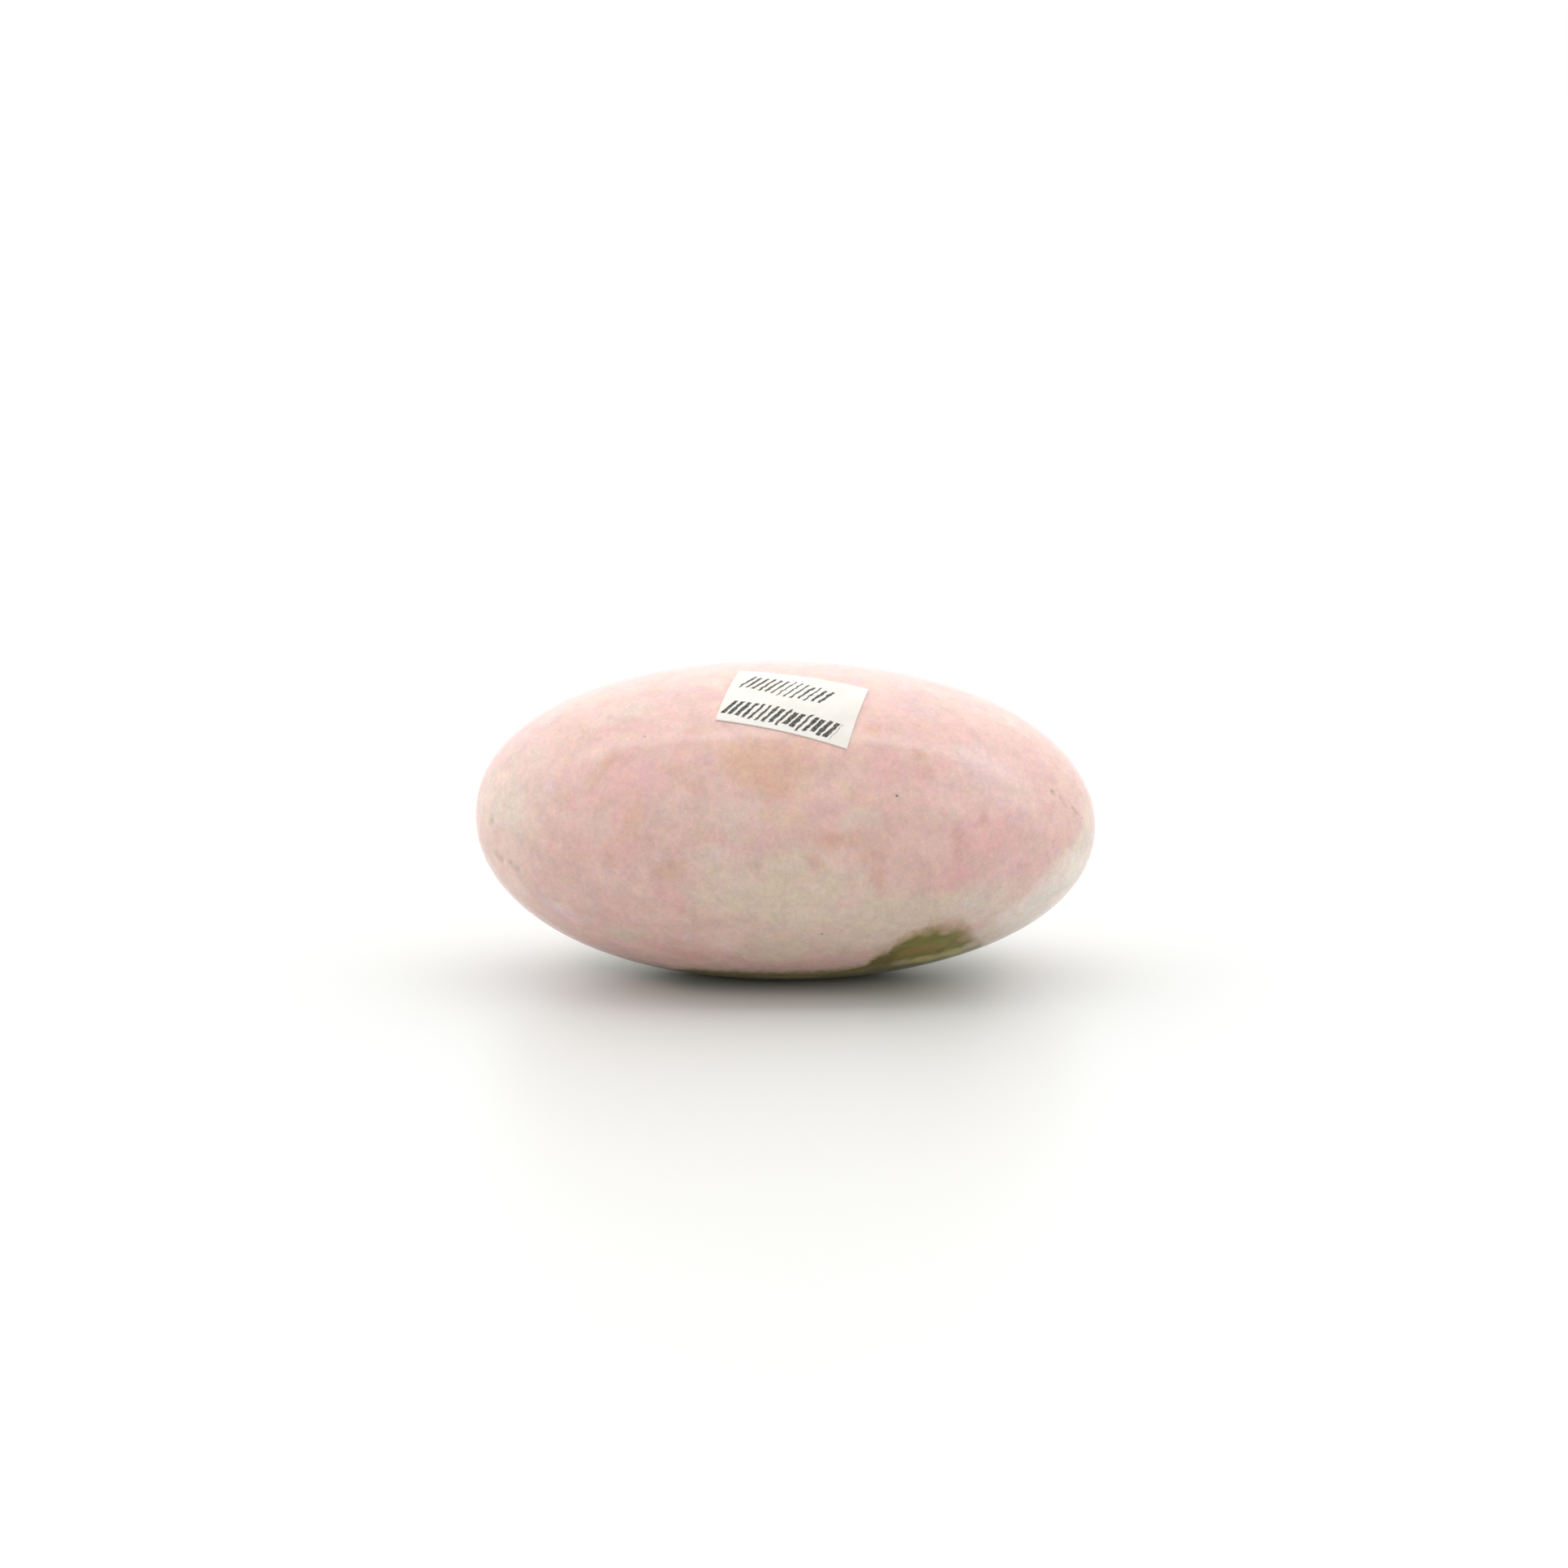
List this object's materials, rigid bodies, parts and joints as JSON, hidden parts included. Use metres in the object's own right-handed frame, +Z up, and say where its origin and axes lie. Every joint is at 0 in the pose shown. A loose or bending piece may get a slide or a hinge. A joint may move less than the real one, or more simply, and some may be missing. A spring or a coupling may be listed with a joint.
{
  "type": "polished tugtupite pebble",
  "caption": "Polished ovoid pebble of pink and white tugtupite with an olive patch low on its front and a small paper label on its upper front.",
  "frame": {"origin": "on the level of the flat foot that the stone lies on, under the middle of its box", "axes": "+Z up, +X along the stone's long axis towards its narrower end, -Y towards the front, where the label and the olive patch are"},
  "size_m": [0.0496, 0.028, 0.0253],
  "materials": {
    "stone": "polished to a wet gloss, cloudy pink and cream with an olive patch",
    "label": "matt white paper"
  },
  "bodies": {
    "root": {"stone": "stone", "label": "label"}
  },
  "joints": []
}
